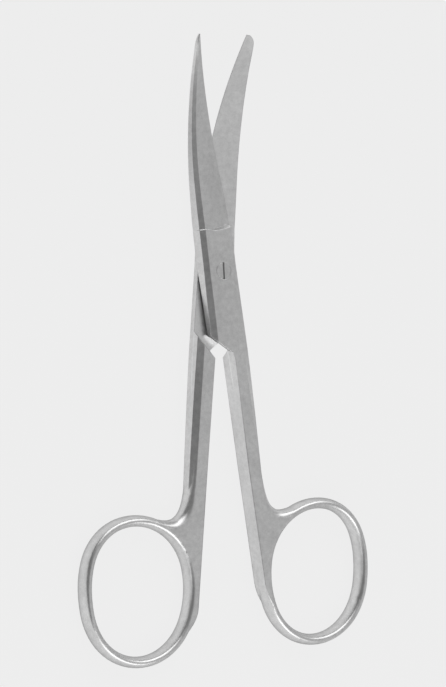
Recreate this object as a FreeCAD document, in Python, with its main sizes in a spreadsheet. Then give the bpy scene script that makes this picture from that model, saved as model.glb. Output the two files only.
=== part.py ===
import FreeCAD, Part
import math
import os

import Sketcher
from FreeCAD import Placement, Rotation, Vector

# Curved operating scissors, one sharp and one blunt point, lying open on a table.
# Frame: +Y towards the tips, +Z up, the origin on the table right under the pivot.
# Each half is drawn closed, about the middle line x = 0, with z = 0 midway between the ride
# faces. The pivot lies a little aside of that line.
# The upper half has its shank on the +x side. The lower half is the same forging turned
# over about the y axis, but both blades bend up.

SIZES = {
    # the pair
    "stack": 4.6,               # thickness of the two plates together, and of each shank
    "ride_gap": 0.15,           # between the two ride faces
    "open_angle": 14.0,         # between the halves as they lie
    "pivot_shift": 0.7,         # middle line to the pivot, towards the upper half's shank
    # plate round the pivot
    "plate_back": 4.95,         # middle line to the plate's edge on the side of the blade's back
    "upper_front": 4.55,        # middle line to the upper plate's edge that runs into the shank
    "lower_front": 4.75,        # the same on the lower plate
    "plate_end": 9.95,          # pivot to the grinding step, at the blade's back
    "step_sag": 0.55,           # how much nearer to the pivot the step lies in its middle
    "step_lean": 0.75,          # how far the foot of the step lies beyond its top
    "back_bevel": 2.05,         # foot of the back to the crease on the outer face
    "heel_bevel": 1.45,         # the same at the heel
    "back_lean": 0.78,          # foot of the back to the lower edge of that bevel
    "heel_back_lean": 0.1,      # the same at the heel
    "relief": 0.55,             # ground off under the plate's back edge, at the heel
    "relief_width": 1.2,
    "heel": 18.15,              # pivot to the plate's slanting end, on the middle line
    "heel_lean": 0.6,           # how far the heel's outer edge overhangs its inner edge
    "shoulder": 18.5,           # pivot to the foot of the shoulder, on the middle line
    "shoulder_run": 1.15,       # lean of the shoulder over one plate's thickness
    "slant": 42.0,              # heel and shoulder against the x axis, degrees
    # shank
    "upper_inner": -0.08,       # middle line to the upper half's inner wall beside its ring
    "lower_inner": 0.2,         # the same on the lower half
    "inner_high": 0.05,         # middle line to both inner walls beside the shoulder
    "inner_lean": 0.45,         # how much further back the wall's outer edge lies there
    "upper_low": 3.85,          # middle line to the upper half's outer wall above the ring
    "lower_low": 4.3,           # the same on the lower half
    "taper_start": 19.0,        # pivot to the upper end of the shank's taper
    "taper_end": 50.0,          # pivot to the lower end of the taper
    "flat_edge": 3.1,           # middle line to the crease between flat and outer bevel
    "bevel_high": 0.65,         # depth of the outer bevels beside the pivot
    "bevel_low": 1.25,          # depth of the outer bevels above the ring
    "corner_shift": 0.25,       # how much nearer to the middle line the upper half's corner lies
    # finger ring
    "ring_radius": 14.93,       # mean radius of the centre line
    "ring_inset": 0.27,         # middle line to that circle
    "ring_drop": 8.42,          # lower end of the shank's taper to that circle
    "ring_oval": 1.1,           # how much the long axis adds to that radius
    "ring_tilt": 77.0,          # direction of the long axis, degrees
    "ring_egg": 0.16,           # fuller end against slim end
    "ring_square": 0.13,        # fullness of the four quarters
    "ring_width": 2.54,         # across the oval section, in the plane of the ring
    "crest_drop": 0.01,         # how far the ring's crests lie below the shank's faces
    # blades
    "blade_length": 53.8,       # pivot to the sharp point
    "blunt_short": 0.2,         # how much nearer to the pivot the blunt point lies
    "bend_start": 20.2,         # pivot to where the blades leave the flat
    "bend_radius": 84.0,        # of the ride faces, along the blades
    "edge_start": 10.9,         # pivot to the lower end of the cutting edge
    "edge_root": 5.2,           # middle line to the cutting edge, at its lower end
    "edge_point": 0.1,          # middle line to the cutting edge, at the point
    "edge_land": 0.2,           # thickness left along the cutting edge
    "sharp_root": 4.65,         # middle line to the sharp blade's back, at the step
    "blunt_root": 4.4,          # middle line to the blunt blade's back, at the step
    "sharp_back": 1.0,          # middle line to the sharp blade's back, near its point
    "blunt_back": 2.5,          # middle line to the blunt blade's back, near its point
    "sharp_round": 3.8,         # length over which the sharp point closes
    "blunt_round": 2.7,         # length over which the blunt point closes
    "point_height": 0.75,       # thickness of the back near the point
    "point_bevel": 0.9,         # foot of the back to the crease, near the point
    # pivot screw
    "head_width": 3.84,
    "head_height": 1.1,
    "slot_width": 0.4,
    "slot_depth": 0.5,
    "slot_turn": 1.0,           # slot against the middle line, degrees
    "screw_width": 2.4,
    "screw_clearance": 0.03,    # round the screw, in both plates
    "head_seat": 0.05,          # play under the head
}

EDGE_POWER = 1.42               # how late the cutting edge turns in to the point
SHARP_POWER = 1.15              # the same for the sharp blade's back
BLUNT_POWER = 1.7               # the same for the blunt blade's back
TAPER_POWER = 1.5               # how late the shank's outer wall draws in
BEVEL_SHARE = 0.25              # of the thickness that the bevel along a back takes
BACK_TURN = -7.0                # from the pivot to where the plate's back has straightened
EGG_DIRECTION = 43.0            # of the ring's fuller end, degrees
QUARTER_DIRECTION = 46.0        # of the ring's fuller quarters, degrees
JOIN = 108.0                    # from the ring's centre to where corner and crest meet
UPPER_LEAVE = 205.0             # from the ring's centre to where the upper flat wall has faded
LOWER_LEAVE = 222.0             # the same on the lower half
OVERLAP = 8.0                   # how far the shank's bar runs up into the plate
SPARE = 1.0                     # how far a cut runs past the metal that it takes


def sheet_of(document):
    """Driving sizes, one row each."""
    sheet = document.addObject("Spreadsheet::Sheet", "Sizes")
    for row, (alias, value) in enumerate(SIZES.items(), 1):
        sheet.set("A%d" % row, alias)
        sheet.set("B%d" % row, str(value))
        sheet.setAlias("B%d" % row, alias)
    document.recompute()


def new_body(document, label):
    body = document.addObject("PartDesign::Body", label)
    body.Label = label
    return body


def new_sketch(body, name, place=None, role="XY_Plane"):
    """Sketch on one of the body's own planes, moved by a place in that plane's axes."""
    sketch = body.newObject("Sketcher::SketchObject", name)
    plane = [item for item in body.Origin.OriginFeatures if item.Role == role][0]
    sketch.AttachmentSupport = [(plane, "")]
    sketch.MapMode = "FlatFace"
    if place is not None:
        sketch.AttachmentOffset = place
    return sketch


def level(height):
    return Placement(Vector(0, 0, height), Rotation())


def across(x, y, heading, side):
    """Upright plane square to a heading: its own x points left of the heading, its y up.

    On the lower half, side is -1 and the plane is the mirror image.
    """
    turn = math.radians(heading)
    left = Vector(-math.sin(turn) * side, math.cos(turn), 0)
    up = Vector(0, 0, 1)
    return Placement(Vector(side * x, y, 0), Rotation(left, up, left.cross(up), "ZXY"))


def add_outline(sketch, curves):
    """Closed outline of curves that each start where the one before ends."""
    for curve in curves:
        sketch.addGeometry(curve, False)
    for index in range(len(curves)):
        following = (index + 1) % len(curves)
        sketch.addConstraint(Sketcher.Constraint("Coincident", index, 2, following, 1))


def segments(points):
    corners = [Vector(x, y, 0) for x, y in points]
    return [Part.LineSegment(a, b) for a, b in zip(corners, corners[1:])]


def add_polygon(sketch, points):
    add_outline(sketch, segments(points + points[:1]))


def smooth(points):
    curve = Part.BSplineCurve()
    curve.interpolate([Vector(x, y, 0) for x, y in points])
    return curve


def add_oval(sketch, half_width, half_height):
    """Upright oval of four tangent arcs, two tight ones over its crests and two at its sides."""
    tight = half_width * (half_width / half_height) ** 0.65
    rise = half_height - tight
    wide = (half_width + tight) / 2 + rise * rise / (2 * (half_width - tight))
    x = tight * (wide - half_width) / (wide - tight)
    z = rise + tight * rise / (wide - tight)
    joints = [Vector(x, -z, 0), Vector(x, z, 0), Vector(-x, z, 0), Vector(-x, -z, 0)]
    middles = [Vector(half_width, 0, 0), Vector(0, half_height, 0), Vector(-half_width, 0, 0),
               Vector(0, -half_height, 0)]
    ends = joints[1:] + joints[:1]
    add_outline(sketch, [Part.Arc(a, b, c) for a, b, c in zip(joints, middles, ends)])


def add_loft(body, name, kind, sections, ruled):
    loft = body.newObject(kind, name)
    loft.Profile = sections[0]
    loft.Sections = sections[1:]
    loft.Ruled = ruled


def mirrored(points, side):
    return [(side * x, y) for x, y in points]


# The finger ring's centre line is an oval with one fuller end, written as a radius that
# changes with direction.

def ring_centre():
    down = SIZES["taper_end"] + SIZES["ring_drop"] + SIZES["ring_radius"]
    return SIZES["ring_inset"] + SIZES["ring_radius"], -down


def ring_radius(turn):
    oval = SIZES["ring_oval"] * math.cos(2 * math.radians(turn - SIZES["ring_tilt"]))
    egg = SIZES["ring_egg"] * math.cos(3 * math.radians(turn - EGG_DIRECTION))
    quarters = SIZES["ring_square"] * math.cos(4 * math.radians(turn - QUARTER_DIRECTION))
    return SIZES["ring_radius"] + oval + egg + quarters


def ring_slope(turn):
    """Degrees by which the centre line turns in from a circle at this direction."""
    step = 0.01
    change = (ring_radius(turn + step) - ring_radius(turn - step)) / math.radians(2 * step)
    return math.degrees(math.atan2(change, ring_radius(turn)))


def ring_point(turn, out=0.0):
    """Point on the ring's centre line, or this far outside it."""
    across, along = ring_centre()
    reach = ring_radius(turn)
    normal = math.radians(turn - ring_slope(turn))
    x = across + reach * math.cos(math.radians(turn)) + out * math.cos(normal)
    y = along + reach * math.sin(math.radians(turn)) + out * math.sin(normal)
    return x, y


def plate_front(side):
    return SIZES["upper_front"] if side > 0 else SIZES["lower_front"]


def inner_wall(side):
    return SIZES["upper_inner"] if side > 0 else SIZES["lower_inner"]


def outer_wall(y, side):
    """Middle line to the outer wall, which draws in along the shank."""
    reach = (-y - SIZES["taper_start"]) / (SIZES["taper_end"] - SIZES["taper_start"])
    reach = min(max(reach, 0.0), 1.0)
    low = SIZES["upper_low"] if side > 0 else SIZES["lower_low"]
    return plate_front(side) - (plate_front(side) - low) * reach ** TAPER_POWER


def corner_crease(side):
    """Crease from the outer bevel round the inside corner onto the ring's crest, as a curve."""
    edge = SIZES["flat_edge"]
    flat = edge - SIZES["corner_shift"] if side > 0 else edge
    low = -SIZES["taper_end"]
    return smooth([(flat, low + 7.0), (flat - 0.1, low + 2.0), (flat - 0.1, low - 2.5),
                   (flat + 0.3, low - 5.4), (flat + 1.4, low - 7.5), (flat + 3.2, low - 8.8),
                   (edge + 5.3, low - 9.0), ring_point(JOIN, 0.25), ring_point(JOIN - 6.0, 0.1),
                   ring_point(JOIN - 12.0)])


def corner_stations(side):
    """Even stops along that crease: place, heading, and the rounding's width and height."""
    half = SIZES["ring_width"] / 2
    high = SIZES["stack"] / 2 - SIZES["crest_drop"]
    widths = (0.55, 0.75, 0.9, 1.05, 1.25, 1.5, 1.7, 1.8, 1.65, 1.3, 0.95, 0.7)
    heights = (0.9, 0.97, 1.0, 1.0, 1.0, 1.0, 1.0, 1.0, 1.0, 0.995, 0.98, 0.93)
    crease = corner_crease(side)
    edge = crease.toShape()
    stations = []
    for index, (width, height) in enumerate(zip(widths, heights)):
        spot = edge.getParameterByLength(edge.Length * index / (len(widths) - 1))
        place = crease.value(spot)
        ahead = crease.tangent(spot)[0]
        heading = math.degrees(math.atan2(ahead.y, ahead.x))
        stations.append((place.x, place.y, heading, width * half, height * high))
    return stations


def add_shank(body, side):
    """Shank and web: a bar as thick as both plates, out to the crests of corner and ring."""
    wall = inner_wall(side)
    near = SIZES["inner_high"]
    top = OVERLAP - SIZES["heel"]
    low = -SIZES["taper_end"]
    steps = 6
    outer = []
    for index in range(steps + 1):
        y = top + (low - top) * index / steps
        outer.append((outer_wall(y, side), y))
    leave = UPPER_LEAVE if side > 0 else LOWER_LEAVE
    crest = [ring_point(JOIN + (leave - JOIN) * index / steps) for index in range(steps + 1)]
    inner = [(x, y) for x, y, _, _, _ in corner_stations(side)[3:10]]
    corner = [outer[-1]] + inner + [crest[0]]
    half = SIZES["ring_width"] / 2
    edge = [crest[-1], ring_point(leave - 12, 0.6 * half), ring_point(leave - 20, 0.93 * half)]
    edge.append((wall, ring_point(leave - 30)[1]))
    sketch = new_sketch(body, "ShankOutline")
    add_outline(sketch, [
        *segments(mirrored([(near, top), outer[0]], side)),
        smooth(mirrored(outer, side)),
        smooth(mirrored(corner, side)),
        smooth(mirrored(crest, side)),
        smooth(mirrored(edge, side)),
        *segments(mirrored([edge[-1], (wall, low + 5.0), (near, -SIZES["heel"]), (near, top)], side)),
    ])
    pad = body.newObject("PartDesign::Pad", "Shank")
    pad.Profile = sketch
    pad.SideType = "Symmetric"
    pad.setExpression("Length", "Sizes.stack")


def cut_shoulder(body, side):
    """Take the other plate's layer off the shank, down to a leaning shoulder."""
    half = SIZES["stack"] / 2
    ride = SIZES["ride_gap"] / 2
    lean = SIZES["shoulder_run"] / (half + ride)
    depth = half + SPARE
    far = 2 * SIZES["shoulder"]
    corners = [(0, ride), (-lean * (depth + ride), -depth), (far, -depth), (far, ride)]
    place = across(0, -SIZES["shoulder"], SIZES["slant"], side)
    sketch = new_sketch(body, "ShoulderProfile", place)
    add_polygon(sketch, [(x, side * z) for x, z in corners])
    pocket = body.newObject("PartDesign::Pocket", "Shoulder")
    pocket.Profile = sketch
    pocket.SideType = "Symmetric"
    pocket.setExpression("Length", "4 * Sizes.shoulder")


def add_plate(body, side, back_root):
    """Plate round the pivot, one layer thick, from the undercut heel to the grinding step."""
    back = -SIZES["plate_back"]
    front = plate_front(side)
    wall = SIZES["inner_high"]
    end = SIZES["plate_end"]
    sag = SIZES["step_sag"]
    slope = math.tan(math.radians(SIZES["slant"]))
    top = OVERLAP - SIZES["heel"]
    sections = []
    heights = (SIZES["ride_gap"] / 2, SIZES["stack"] / 2)
    for height, lean, foot in zip(heights, (0.0, SIZES["heel_lean"]), (SIZES["step_lean"], 0.0)):
        heel = -SIZES["heel"] - lean
        sketch = new_sketch(body, "PlateOutline", level(side * height))
        corners = [(-back_root, end), (back, 1.0), (back, heel - slope * back)]
        corners += [(wall, heel - slope * wall), (SIZES["flat_edge"], heel), (front, top)]
        corners += [(front, 3.0), (front - 0.15, end - 0.55 * sag + foot)]
        step = [corners[-1], (0.5 * front, end - sag + foot), (0.05 * front, end - 0.95 * sag + foot),
                (-0.33 * front, end - 0.2 * sag + 0.25 * foot), corners[0]]
        add_outline(sketch, segments(mirrored(corners, side)) + [smooth(mirrored(step, side))])
        sections.append(sketch)
    add_loft(body, "Plate", "PartDesign::AdditiveLoft", sections, True)


def cut_bevel(body, name, side, face, surface, stops):
    """Bevel along an edge of a surface: each stop gives y, the crease's x, the wall's x, depth."""
    sections = []
    for y, crease, wall, depth in stops:
        reach = wall - crease
        inner = (crease - 0.2 * reach, surface + 0.2 * depth)
        outer = (wall + 0.3 * reach, surface - 1.3 * depth)
        sketch = new_sketch(body, name + "Section", level(-y), "XZ_Plane")
        corners = [inner, outer, (outer[0], inner[1])]
        add_polygon(sketch, [(side * x, face * z) for x, z in corners])
        sections.append(sketch)
    add_loft(body, name, "PartDesign::SubtractiveLoft", sections, True)


def cut_shank_bevels(body, side):
    """Bevels along the outer wall, deeper down the shank, and the inner wall's lean."""
    half = SIZES["stack"] / 2
    crease = SIZES["flat_edge"]
    front = plate_front(side)
    high, low = SIZES["bevel_high"], SIZES["bevel_low"]
    ends = (-SIZES["taper_start"], -SIZES["taper_end"] - 0.5)
    places = (ends[0], sum(ends) / 2, ends[1])
    depths = (high, (high + low) / 2, low)
    shank = [(y, crease, outer_wall(y, side), depth) for y, depth in zip(places, depths)]
    end = (SIZES["plate_end"] + SPARE, front - 0.2, front, 0.1)
    cut_bevel(body, "OuterBevel", side, side, half, [end, (1.0, crease, front, high)] + shank)
    top = OVERLAP - SIZES["shoulder"]
    cut_bevel(body, "UnderBevel", side, -side, half, [(top, crease, front, high)] + shank)
    near, wall = SIZES["inner_high"], inner_wall(side)
    faded = 5.0 - SIZES["taper_end"]
    start = -SIZES["heel"] - 0.1
    stops = [(start, near + 0.02, near, SIZES["stack"]),
             (start - 2.1, near + SIZES["inner_lean"], near, SIZES["stack"]),
             (faded, wall + 0.02, wall, SIZES["stack"])]
    cut_bevel(body, "InnerLean", side, side, half, stops)


def cut_back(body, side, back_root):
    """Lean the plate's back, bevel it, and ease its under edge towards the heel."""
    half = SIZES["stack"] / 2
    ride = SIZES["ride_gap"] / 2
    back = -SIZES["plate_back"]
    low = -SIZES["heel"] - 2.0
    lean, heel_lean = SIZES["back_lean"], SIZES["heel_back_lean"]
    width, heel_width = SIZES["back_bevel"], SIZES["heel_bevel"]
    turned = (0.4 * lean + 0.6 * heel_lean, 0.7 * width + 0.3 * heel_width)
    places = ((low, back, heel_lean, heel_width), (BACK_TURN, back, *turned),
              (1.0, back, lean, width), (SIZES["plate_end"] + 0.02, -back_root, lean, width))
    depth = BEVEL_SHARE * half
    share = 1.0 - depth / (half - ride)
    cut_bevel(body, "BackWall", side, side, half,
              [(y, x + tilt / share, x, half - ride) for y, x, tilt, _ in places])
    cut_bevel(body, "BackBevel", side, side, half,
              [(y, x + reach, x + tilt, depth) for y, x, tilt, reach in places])
    reach = back + SIZES["relief_width"]
    cut_bevel(body, "BackRelief", side, side, ride,
              [(low, reach, back, -SIZES["relief"]), (1.0, reach, back, -0.05)])


def bend(y):
    """Height of the ride faces' middle at a distance from the pivot."""
    along = max(y - SIZES["bend_start"], 0.0)
    radius = SIZES["bend_radius"]
    return radius - math.sqrt(radius * radius - along * along)


def blade_section(y, shape):
    """Corners of the blade's section, x outwards and z from the ride face's middle."""
    length, root, back_end, power, rounding = shape
    end = SIZES["plate_end"]
    reach = max((y - end) / (length - rounding - end), 0.0)
    closing = max(y - (length - rounding), 0.0) / rounding
    open_share = math.sqrt(max(1.0 - closing * closing, 0.0))
    point = SIZES["edge_point"]
    back = root - (root - back_end) * min(reach, 1.0) ** power
    back = -point + (back + point) * open_share
    far = max(y - SIZES["edge_start"], 0.0) / (length - SIZES["edge_start"])
    edge = SIZES["edge_root"] - (SIZES["edge_root"] - point) * far ** EDGE_POWER
    width = max(edge + back, 0.25)
    left = max(1.0 - reach, 0.0)
    height = SIZES["point_height"] + (SIZES["stack"] / 2 - SIZES["point_height"]) * left ** 1.5
    height *= 0.5 + 0.5 * open_share
    bevel = SIZES["point_bevel"] + (SIZES["back_bevel"] - SIZES["point_bevel"]) * left ** 0.6
    bevel = min(bevel, 0.45 * width)
    lean = bevel * SIZES["back_lean"] / SIZES["back_bevel"]
    middle = (1.0 - BEVEL_SHARE) * height
    back_edge = edge - width
    foot = -0.5
    ride = SIZES["ride_gap"] / 2
    slope = lean / (middle - ride)
    return [(back_edge + slope * (foot - ride), foot), (edge, foot), (edge, ride + SIZES["edge_land"]),
            (back_edge + bevel, height), (back_edge + lean, middle)]


def add_blade(body, side, shape):
    """Ground blade: thick at its bevelled back, thin at its edge, bent up towards the point."""
    length, _, _, _, rounding = shape
    root = SIZES["plate_end"] - 1.8
    start = length - rounding
    places = [root + (start - root) * index / 10 for index in range(10)]
    places += [start + rounding * share for share in (0.0, 0.4, 0.7, 0.88, 0.97)]
    sections = []
    for y in places:
        corners = blade_section(y, shape)
        if y == root:
            corners = [(x * 0.988, z * 0.985) for x, z in corners]
        sketch = new_sketch(body, "BladeSection", level(-y), "XZ_Plane")
        add_polygon(sketch, [(side * x, bend(y) + side * z) for x, z in corners])
        sections.append(sketch)
    add_loft(body, "Blade", "PartDesign::AdditiveLoft", sections, False)


def cut_ride_face(body, side):
    """Turn the blade's ride face about the pivot, so that the blades stay clear as they swing."""
    ride = side * SIZES["ride_gap"] / 2
    start = SIZES["bend_start"]
    far = SIZES["blade_length"] + 6.0
    near = SIZES["plate_end"] - 3.5
    radius = SIZES["bend_radius"]
    floor = -6.0 if side > 0 else bend(far) + 6.0
    sweep = math.asin((far - start) / radius)
    centre = Vector(start, ride + radius, 0)
    circle = Part.Circle(centre, Vector(0, 0, 1), radius)
    arc = Part.ArcOfCircle(circle, -math.pi / 2, -math.pi / 2 + sweep)
    tip = (far, ride + bend(far))
    sketch = new_sketch(body, "RideProfile", level(SIZES["pivot_shift"]), "YZ_Plane")
    add_outline(sketch, [
        arc,
        *segments([tip, (far, floor), (near, floor), (near, ride), (start, ride)]),
    ])
    groove = body.newObject("PartDesign::Groove", "RideFace")
    groove.Profile = sketch
    groove.ReferenceAxis = (sketch, ["V_Axis"])
    groove.Midplane = True
    groove.Angle = 120.0


def two_arcs(start, way, end, end_way):
    """Two arcs, tangent where they meet, from a point to a point in given directions."""
    span = end - start
    both = way + end_way
    turn = 2 * (1 - way.dot(end_way))
    reach = (math.sqrt(span.dot(both) ** 2 + turn * span.dot(span)) - span.dot(both)) / turn
    meet = (start + end + (way - end_way) * reach) * 0.5
    middles = []
    for point, heading in ((start, way), (end, end_way * -1)):
        chord = meet - point
        left = Vector(-heading.y, heading.x, 0)
        radius = chord.dot(chord) / (2 * left.dot(chord))
        centre = point + left * radius
        middles.append(centre + (point + chord * 0.5 - centre).normalize() * abs(radius))
    return [Part.Arc(start, middles[0], meet), Part.Arc(meet, middles[1], end)]


def ring_line(side):
    """The ring's centre line as arcs, each tangent to the next, drawn anticlockwise."""
    stops = []
    for index in range(8):
        turn = side * 45.0 * index
        x, y = ring_point(turn)
        normal = math.radians(turn - ring_slope(turn))
        way = Vector(-math.sin(normal), side * math.cos(normal), 0)
        stops.append((Vector(side * x, y, 0), way))
    arcs = []
    for (start, way), (end, end_way) in zip(stops, stops[1:] + stops[:1]):
        arcs += two_arcs(start, way, end, end_way)
    return arcs


def add_ring(body, side):
    """Finger ring: an oval section swept along the centre line."""
    line = new_sketch(body, "RingLine")
    add_outline(line, ring_line(side))
    x, y = ring_point(0)
    section = new_sketch(body, "RingSection", across(x, y, 90 - ring_slope(0), side))
    add_oval(section, SIZES["ring_width"] / 2, SIZES["stack"] / 2 - SIZES["crest_drop"])
    pipe = body.newObject("PartDesign::AdditivePipe", "Ring")
    pipe.Profile = section
    pipe.Spine = line


def add_corner(body, side):
    """Rounding that leads from the outer bevel round the inside corner onto the ring."""
    sections = []
    for x, y, heading, half_width, half_height in corner_stations(side):
        section = new_sketch(body, "CornerSection", across(x, y, heading, side))
        add_oval(section, half_width, half_height)
        sections.append(section)
    add_loft(body, "Corner", "PartDesign::AdditiveLoft", sections, False)


def cut_wall(body, side):
    """Grind the ring's side flush with the shank's inner wall."""
    wall = inner_wall(side)
    high = -SIZES["taper_end"]
    low = ring_centre()[1] - SIZES["ring_radius"]
    sketch = new_sketch(body, "WallOutline")
    far = wall - 2 * SPARE
    add_polygon(sketch, mirrored([(wall, high), (wall, low), (far, low), (far, high)], side))
    pocket = body.newObject("PartDesign::Pocket", "InnerWall")
    pocket.Profile = sketch
    pocket.SideType = "Symmetric"
    pocket.setExpression("Length", "2 * Sizes.stack")


def cut_round(body, name, place, diameter, length):
    """Round hole from a level, as deep as an expression says, down the sketch's own axis."""
    sketch = new_sketch(body, name + "Circle", place)
    sketch.addGeometry(Part.Circle(Vector(0, 0, 0), Vector(0, 0, 1), 1.0), False)
    sketch.addConstraint(Sketcher.Constraint("Coincident", 0, 3, -1, 1))
    index = sketch.addConstraint(Sketcher.Constraint("Diameter", 0, 2.0))
    sketch.renameConstraint(index, "Width")
    sketch.setExpression("Constraints.Width", diameter)
    pocket = body.newObject("PartDesign::Pocket", name)
    pocket.Profile = sketch
    pocket.setExpression("Length", length)


def build_half(document, label, side, shape):
    """One half; its blade's shape is length, back at the step, back near the point, power, rounding."""
    body = new_body(document, label)
    add_shank(body, side)
    cut_shoulder(body, side)
    add_plate(body, side, shape[1])
    cut_shank_bevels(body, side)
    cut_back(body, side, shape[1])
    add_blade(body, side, shape)
    cut_ride_face(body, side)
    add_ring(body, side)
    cut_wall(body, side)
    add_corner(body, side)
    top = Placement(Vector(SIZES["pivot_shift"], 0, SIZES["stack"] / 2), Rotation())
    through = "Sizes.screw_width + 2 * Sizes.screw_clearance"
    cut_round(body, "PivotHole", top, through, "Sizes.stack")
    if side > 0:
        width = "Sizes.head_width + 2 * Sizes.screw_clearance"
        cut_round(body, "HeadSeat", top, width, "Sizes.head_height + Sizes.head_seat")
    body.Placement = Placement(Vector(0, 0, 1), Rotation(Vector(0, 0, 1), 1))
    body.setExpression("Placement.Base.x", "-Sizes.pivot_shift * cos(Sizes.open_angle / 2)")
    body.setExpression("Placement.Base.y", "%d * Sizes.pivot_shift * sin(Sizes.open_angle / 2)" % -side)
    body.setExpression("Placement.Base.z", "Sizes.stack / 2")
    body.setExpression("Placement.Rotation.Angle", "%d * Sizes.open_angle / 2" % side)
    return body


def add_disc(body, name, place, diameter, length):
    sketch = new_sketch(body, name + "Circle", place)
    sketch.addGeometry(Part.Circle(Vector(0, 0, 0), Vector(0, 0, 1), 1.0), False)
    sketch.addConstraint(Sketcher.Constraint("Coincident", 0, 3, -1, 1))
    index = sketch.addConstraint(Sketcher.Constraint("Diameter", 0, 2.0))
    sketch.renameConstraint(index, "Width")
    sketch.setExpression("Constraints.Width", diameter)
    pad = body.newObject("PartDesign::Pad", name)
    pad.Profile = sketch
    pad.Reversed = True
    pad.setExpression("Length", length)


def build_screw(document):
    """Slotted screw: the head lies flush in the upper plate, the end flush under the lower."""
    body = new_body(document, "pivot_screw")
    top = level(SIZES["stack"])
    add_disc(body, "Stem", top, "Sizes.screw_width", "Sizes.stack")
    add_disc(body, "Head", top, "Sizes.head_width", "Sizes.head_height")
    half = SIZES["slot_width"] / 2
    reach = SIZES["head_width"]
    sketch = new_sketch(body, "SlotOutline", top)
    add_polygon(sketch, [(-half, -reach), (half, -reach), (half, reach), (-half, reach)])
    pocket = body.newObject("PartDesign::Pocket", "Slot")
    pocket.Profile = sketch
    pocket.setExpression("Length", "Sizes.slot_depth")
    body.Placement = Placement(Vector(0, 0, 0), Rotation(Vector(0, 0, 1), 1))
    body.setExpression("Placement.Rotation.Angle", "Sizes.slot_turn")
    return body


def check(document, bodies):
    for item in document.Objects:
        if "Invalid" in item.State or "Error" in item.State:
            raise RuntimeError("%s: %s" % (item.Label, item.State))
    for body in bodies:
        shape = body.Shape
        if shape.isNull() or not shape.isValid() or len(shape.Solids) != 1:
            raise RuntimeError("%s is not one sound solid" % body.Label)


def main():
    document = FreeCAD.newDocument("CurvedScissors")
    sheet_of(document)
    length = SIZES["blade_length"]
    sharp = (length, SIZES["sharp_root"], SIZES["sharp_back"], SHARP_POWER, SIZES["sharp_round"])
    blunt = (length - SIZES["blunt_short"], SIZES["blunt_root"], SIZES["blunt_back"], BLUNT_POWER,
             SIZES["blunt_round"])
    bodies = [
        build_half(document, "sharp_half", 1, sharp),
        build_half(document, "blunt_half", -1, blunt),
        build_screw(document),
    ]
    document.recompute()
    check(document, bodies)
    os.makedirs("parts", exist_ok=True)
    for body in bodies:
        body.Shape.exportStep("parts/%s.step" % body.Label)
        print(body.Label, round(body.Shape.Volume, 2), body.Shape.BoundBox)


main()
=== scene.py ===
import math

import bmesh
import bpy
from mathutils import Matrix, Vector


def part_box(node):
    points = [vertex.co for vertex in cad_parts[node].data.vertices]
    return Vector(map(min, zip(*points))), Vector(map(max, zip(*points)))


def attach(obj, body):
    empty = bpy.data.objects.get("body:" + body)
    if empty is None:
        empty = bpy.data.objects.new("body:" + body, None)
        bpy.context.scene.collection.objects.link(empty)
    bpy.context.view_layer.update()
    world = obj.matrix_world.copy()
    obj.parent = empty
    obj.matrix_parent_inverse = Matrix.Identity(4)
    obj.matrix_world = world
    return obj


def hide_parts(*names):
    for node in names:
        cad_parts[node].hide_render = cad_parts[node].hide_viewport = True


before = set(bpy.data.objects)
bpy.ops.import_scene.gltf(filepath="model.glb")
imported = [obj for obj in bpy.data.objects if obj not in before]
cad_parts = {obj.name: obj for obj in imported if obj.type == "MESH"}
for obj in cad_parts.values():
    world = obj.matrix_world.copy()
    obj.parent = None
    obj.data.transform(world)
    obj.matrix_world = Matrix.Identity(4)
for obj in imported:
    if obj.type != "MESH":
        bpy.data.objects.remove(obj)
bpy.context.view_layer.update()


# Lower half: blunt blade, plate, shank and left finger ring in one forging of stainless steel.
# It is ground, satin finished with fine glass beads and polished a little on its crests, and it
# lies on the table on its flat faces.

# Lengths are in metres, and places along the scissors count from the pivot towards the points.
WELD = 0.000016                 # between points that are one point
CREASE = math.radians(19.0)     # faces that meet at more than this keep their edge
BLADE_CREASE = math.radians(9.0)    # the same on the blades, where the faces meet at less
BLADE_START = 0.01              # the grinding step
RIDE_LEVEL = 0.0023             # height of the ride faces round the pivot, middle of the two
BEND_START = 0.0202             # where the ride faces leave the flat
BEND_RADIUS = 0.084             # of the blades' bend
RIDE_NEAR = (0.00017, 0.00013)  # from the middle of the two ride faces: too far, and near enough
RIDE_END = (-0.028, -0.026)     # behind the shoulders nothing rides
CRISP_EDGE = 0.00018            # how far polishing has rounded the edges
SOFT_EDGE = 0.00048             # the same down the shanks and round the rings
CRISP_RAYS, SOFT_RAYS = 6, 8    # how finely each rounding is worked out
SOFTENING = (-0.024, -0.05)     # over this stretch the edges get softer
GRAIN = {"Scale": 3200.0, "Detail": 3.0, "Roughness": 0.6}      # dimples of the glass beads
FLECK = {"Scale": 900.0, "Detail": 2.0, "Roughness": 0.5}       # fine spots in the satin
CLOUD = {"Scale": 140.0, "Detail": 2.0, "Roughness": 0.5}       # soft patches of uneven polish
BASE_TONE = 0.45                # share of the colour that the steel has before these are added
# The ride share is painted light: a painted sheen that brightens the colour on the faces that ride.
GRAIN_TONE, FLECK_TONE, CLOUD_TONE, PAINTED_RIDE_SHEEN = 0.2, 0.26, 0.2, 0.12
GRAIN_DEPTH = 0.00002
GRAIN_STRENGTH = 0.12
FLECK_ROUGHNESS = 0.08
EDGE_TINT = (0.5, 0.5, 0.5, 1.0)    # dims what the steel mirrors at a grazing look
BLACK = (0.0, 0.0, 0.0, 1.0)
STEEL = (0.87, 0.87, 0.87, 1.0)
SATIN = 0.3                     # roughness


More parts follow.
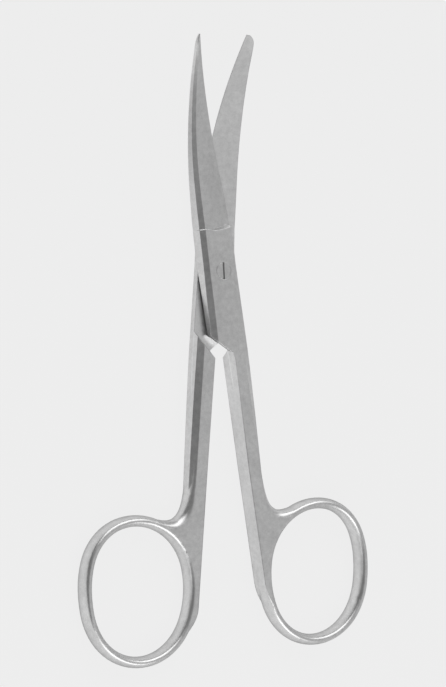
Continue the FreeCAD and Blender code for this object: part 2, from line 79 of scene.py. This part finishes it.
class Value:
    """A shader socket that can be used in sums."""

    def __init__(self, finish, socket):
        self.finish = finish
        self.socket = socket

    def sum_with(self, operation, first, second):
        return self.finish.node("ShaderNodeMath", {"operation": operation}, [first, second])

    def __add__(self, other):
        return self.sum_with("ADD", self, other)

    def __radd__(self, other):
        return self.sum_with("ADD", other, self)

    def __sub__(self, other):
        return self.sum_with("SUBTRACT", self, other)

    def __rsub__(self, other):
        return self.sum_with("SUBTRACT", other, self)

    def __mul__(self, other):
        return self.sum_with("MULTIPLY", self, other)

    def __rmul__(self, other):
        return self.sum_with("MULTIPLY", other, self)


class Finish:
    """Nodes of one material, or of the studio's light dome."""

    def __init__(self, owner):
        owner.use_nodes = True
        self.tree = owner.node_tree
        self.tree.nodes.clear()

    def node(self, kind, settings=None, sockets=(), output=0):
        """Add a node: first its settings, then values or links of its sockets, by place or name."""
        made = self.tree.nodes.new(kind)
        for name, value in (settings or {}).items():
            setattr(made, name, value)
        pairs = sockets.items() if isinstance(sockets, dict) else enumerate(sockets)
        for name, value in pairs:
            if isinstance(value, Value):
                self.tree.links.new(value.socket, made.inputs[name])
            elif value is not None:
                made.inputs[name].default_value = value
        return Value(self, made.outputs[output]) if made.outputs else made


def part_way(finish, value, span, ease="LINEAR"):
    """0 at the span's first number, 1 at its second, and rising from one to the other."""
    return finish.node("ShaderNodeMapRange", {"interpolation_type": ease},
                       {"Value": value, "From Min": span[0], "From Max": span[1]})


def ride_share(finish, x, y, z):
    """1 on the faces on which the halves ride, 0 elsewhere, from their height over the table."""
    reach = finish.node("ShaderNodeMath", {"operation": "SQRT"}, [x * x + y * y])
    along = finish.node("ShaderNodeMath", {"operation": "MAXIMUM"}, [reach - BEND_START, 0.0])
    drop = finish.node("ShaderNodeMath", {"operation": "SQRT"}, [BEND_RADIUS ** 2 - along * along])
    off = finish.node("ShaderNodeMath", {"operation": "ABSOLUTE"}, [z - RIDE_LEVEL - BEND_RADIUS + drop])
    return part_way(finish, off, RIDE_NEAR) * part_way(finish, y, RIDE_END)


def satin_steel(name, colour):
    """Bead-blasted stainless steel, with a painted sheen that makes its colour a little brighter on the
    ground faces that ride.
    """
    material = bpy.data.materials.new(name)
    finish = Finish(material)
    place = finish.node("ShaderNodeTexCoord", output=3)
    x, y, z = (finish.node("ShaderNodeSeparateXYZ", None, [place], axis) for axis in range(3))
    ride = ride_share(finish, x, y, z)
    grain, fleck, cloud = (finish.node("ShaderNodeTexNoise", None, {"Vector": place, **pattern})
                           for pattern in (GRAIN, FLECK, CLOUD))
    # The last share paints a sheen on the faces that ride, making their colour brighter.
    tone = BASE_TONE + GRAIN_TONE * grain + FLECK_TONE * fleck + CLOUD_TONE * cloud + PAINTED_RIDE_SHEEN * ride
    tint = finish.node("ShaderNodeMix", {"data_type": "RGBA"}, {0: tone, 6: BLACK, 7: colour}, output=2)
    crisp = finish.node("ShaderNodeBevel", {"samples": CRISP_RAYS}, {"Radius": CRISP_EDGE})
    soft = finish.node("ShaderNodeBevel", {"samples": SOFT_RAYS}, {"Radius": SOFT_EDGE})
    edge = finish.node("ShaderNodeMix", {"data_type": "VECTOR"},
                       {0: part_way(finish, y, SOFTENING), 4: crisp, 5: soft}, output=1)
    relief = finish.node("ShaderNodeBump", None, {
        "Strength": GRAIN_STRENGTH, "Distance": GRAIN_DEPTH, "Height": grain, "Normal": edge})
    shader = finish.node("ShaderNodeBsdfPrincipled", None, {
        "Base Color": tint,
        "Metallic": 1.0,
        "Specular Tint": EDGE_TINT,
        "Roughness": SATIN + FLECK_ROUGHNESS * (fleck - 0.5),
        "Normal": relief,
    })
    finish.node("ShaderNodeOutputMaterial", None, {"Surface": shader})
    return material


def finished(node, body, material):
    """The piece itself, welded from its solid's triangles and smooth shaded."""
    shape = bmesh.new()
    shape.from_mesh(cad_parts[node].data)
    bmesh.ops.remove_doubles(shape, verts=shape.verts, dist=WELD)
    bmesh.ops.dissolve_degenerate(shape, edges=shape.edges, dist=WELD)
    for face in shape.faces:
        face.smooth = True
    for edge in shape.edges:
        limit = BLADE_CREASE if edge.verts[0].co.y > BLADE_START else CREASE
        if len(edge.link_faces) == 2 and edge.calc_face_angle() > limit:
            edge.smooth = False
    mesh = bpy.data.meshes.new(node + "_finished")
    shape.to_mesh(mesh)
    shape.free()
    mesh.materials.append(material)
    piece = bpy.data.objects.new(node + "_finished", mesh)
    bpy.context.scene.collection.objects.link(piece)
    weighted = piece.modifiers.new("weighted", "WEIGHTED_NORMAL")
    weighted.keep_sharp = True
    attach(piece, body)
    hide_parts(node)


steel = satin_steel("satin_steel", STEEL)
finished("blunt_half", "lower", steel)


# Pivot screw: a slotted screw let in flush in the upper plate and ground over with it, so that
# only its slot and a hair line round its head show.

SCREW_STEEL = (0.85, 0.85, 0.85, 1.0)

screw_steel = satin_steel("screw_steel", SCREW_STEEL)
finished("pivot_screw", "lower", screw_steel)


# Upper half: sharp blade, plate with its grinding step, shank and right finger ring, the same
# forging turned over, in the same finish.

finished("sharp_half", "upper", steel)


# Table: a wide pale matt sheet on which the scissors lie. It is lit from within a little, so
# that it stays even round them.

TABLE_SIZE = 6.0
TABLE_GLOW = 0.82
TABLE_TONE = (0.04, 0.04, 0.04, 1.0)
WHITE = (1.0, 1.0, 1.0, 1.0)

sheet = bmesh.new()
bmesh.ops.create_grid(sheet, x_segments=1, y_segments=1, size=TABLE_SIZE / 2)
table_mesh = bpy.data.meshes.new("table")
sheet.to_mesh(table_mesh)
sheet.free()
table = bpy.data.objects.new("table", table_mesh)
bpy.context.scene.collection.objects.link(table)
table_material = bpy.data.materials.new("table")
paper = Finish(table_material)
matt = paper.node("ShaderNodeBsdfDiffuse", None, {"Color": TABLE_TONE})
glow = paper.node("ShaderNodeEmission", None, {"Color": WHITE, "Strength": TABLE_GLOW})
both = paper.node("ShaderNodeAddShader", None, [matt, glow])
paper.node("ShaderNodeOutputMaterial", None, {"Surface": both})
table_mesh.materials.append(table_material)


# Studio: a light dome, dim high over the left of the table where the camera stands, with a broad
# soft light beyond the far end of the table, and a soft box close to the rings.

MM = 0.001
BACKGROUND = 0.847              # brightness beyond the table, as the camera sees it
HIGH_LEFT = 0.195               # brightness of the dome high on the left
LOW_LEFT = 0.65                 # low on the left
NEAR_LEFT = 0.25                # added to that at the near end
RIGHT = 0.51                    # on the right
NEAR_RIGHT = 0.055              # added to that at the near end
FAR_LIGHT = 1.4                 # of the soft light beyond the far end, added to all these

# Where each part fades in or out, read on an arrow of length 1 from the scissors to the dome:
# x to the right, y to the far end, z up.
LOW_FADE = (0.36, 0.12)
NEAR_LEFT_FADE = (-0.05, -0.35)
NEAR_RIGHT_FADE = (0.02, -0.14)
RIGHT_FADE = (-0.2, 0.3)
RIGHT_SLANT = 0.4               # how much the right side reaches round at the far end
FAR_LEFT_END, FAR_RIGHT_END = (-0.55, -0.15), (0.8, 0.6)
FAR_START = (0.32, 0.5)
FAR_FOOT, FAR_TOP = (0.2, 0.4), (0.86, 0.68)

world = bpy.data.worlds.new("studio")
bpy.context.scene.world = world
dome = Finish(world)
way = dome.node("ShaderNodeTexCoord", output=0)
x, y, z = (dome.node("ShaderNodeSeparateXYZ", None, [way], axis) for axis in range(3))


def fade(value, span):
    """0 at the span's first number, 1 at its second, eased between."""
    return part_way(dome, value, span, "SMOOTHSTEP")


far_light = fade(x, FAR_LEFT_END) * fade(x, FAR_RIGHT_END) * fade(y, FAR_START)
far_light = far_light * fade(z, FAR_FOOT) * fade(z, FAR_TOP)
low_left = LOW_LEFT - HIGH_LEFT + NEAR_LEFT * fade(y, NEAR_LEFT_FADE)
left = HIGH_LEFT + low_left * fade(z + y, LOW_FADE)
right_share = fade(x + RIGHT_SLANT * y, RIGHT_FADE)
right_light = RIGHT + NEAR_RIGHT * fade(y, NEAR_RIGHT_FADE)
sky = left * (1.0 - right_share) + right_light * right_share + FAR_LIGHT * far_light
seen = dome.node("ShaderNodeLightPath")
strength = seen * BACKGROUND + (1.0 - seen) * sky
lit = dome.node("ShaderNodeBackground", None, {"Color": WHITE, "Strength": strength})
dome.node("ShaderNodeOutputWorld", None, {"Surface": lit})

BOX_TOP = Vector((10.0, -175.0, 230.0)) * MM
BOX_FOOT = Vector((10.0, -290.0, 160.0)) * MM
BOX_WIDTH = 200.0 * MM
BOX_BRIGHTNESS = 1.45

soft_box = bpy.data.lights.new("soft_box", "AREA")
soft_box.shape = "RECTANGLE"
soft_box.size = BOX_WIDTH
soft_box.size_y = (BOX_TOP - BOX_FOOT).length
soft_box.energy = BOX_BRIGHTNESS * math.pi * soft_box.size * soft_box.size_y
box_side = Vector((1, 0, 0))
box_rise = (BOX_TOP - BOX_FOOT).normalized()
box_stand = Matrix((box_side, box_rise, box_side.cross(box_rise))).transposed().to_4x4()
box_stand.translation = (BOX_TOP + BOX_FOOT) / 2
box = bpy.data.objects.new("soft_box", soft_box)
box.matrix_world = box_stand
box.visible_camera = False
bpy.context.scene.collection.objects.link(box)


# Camera: above and to the left of the scissors, looking across the blades at 33 degrees from
# straight down.

LEAN = math.radians(33.0)       # from straight down, to the left
TIP = math.radians(0.52)        # towards the blades
TURN = math.radians(2.6)        # of the scissors on the table, against the picture's upright
DISTANCE = 587.4 * MM
PIXELS_PER_METRE = 4383.0       # at the pivot
PICTURE_HEIGHT = 687.0
PIVOT_RIGHT = -4.68             # of the picture's middle, in pixels
PIVOT_UP = 72.6
SENSOR_WIDTH = 36.0
MID_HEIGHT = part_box("pivot_screw")[1].z / 2

back = Vector((-math.sin(LEAN) * math.cos(TIP), math.sin(TIP), math.cos(LEAN) * math.cos(TIP)))
right = Vector((0, 1, 0)).cross(back).normalized()
up = back.cross(right)
aim = -(right * PIVOT_RIGHT + up * PIVOT_UP) / PIXELS_PER_METRE
lens = bpy.data.cameras.new("camera")
lens.sensor_width = SENSOR_WIDTH
lens.lens = SENSOR_WIDTH * PIXELS_PER_METRE * DISTANCE / PICTURE_HEIGHT
camera = bpy.data.objects.new("camera", lens)
bpy.context.scene.collection.objects.link(camera)
stand = Matrix((right, up, back)).transposed().to_4x4()
stand.translation = aim + back * DISTANCE
camera.matrix_world = Matrix.Translation((0, 0, MID_HEIGHT)) @ Matrix.Rotation(-TURN, 4, "Z") @ stand
bpy.context.scene.camera = camera
bpy.context.scene.view_settings.view_transform = "Standard"
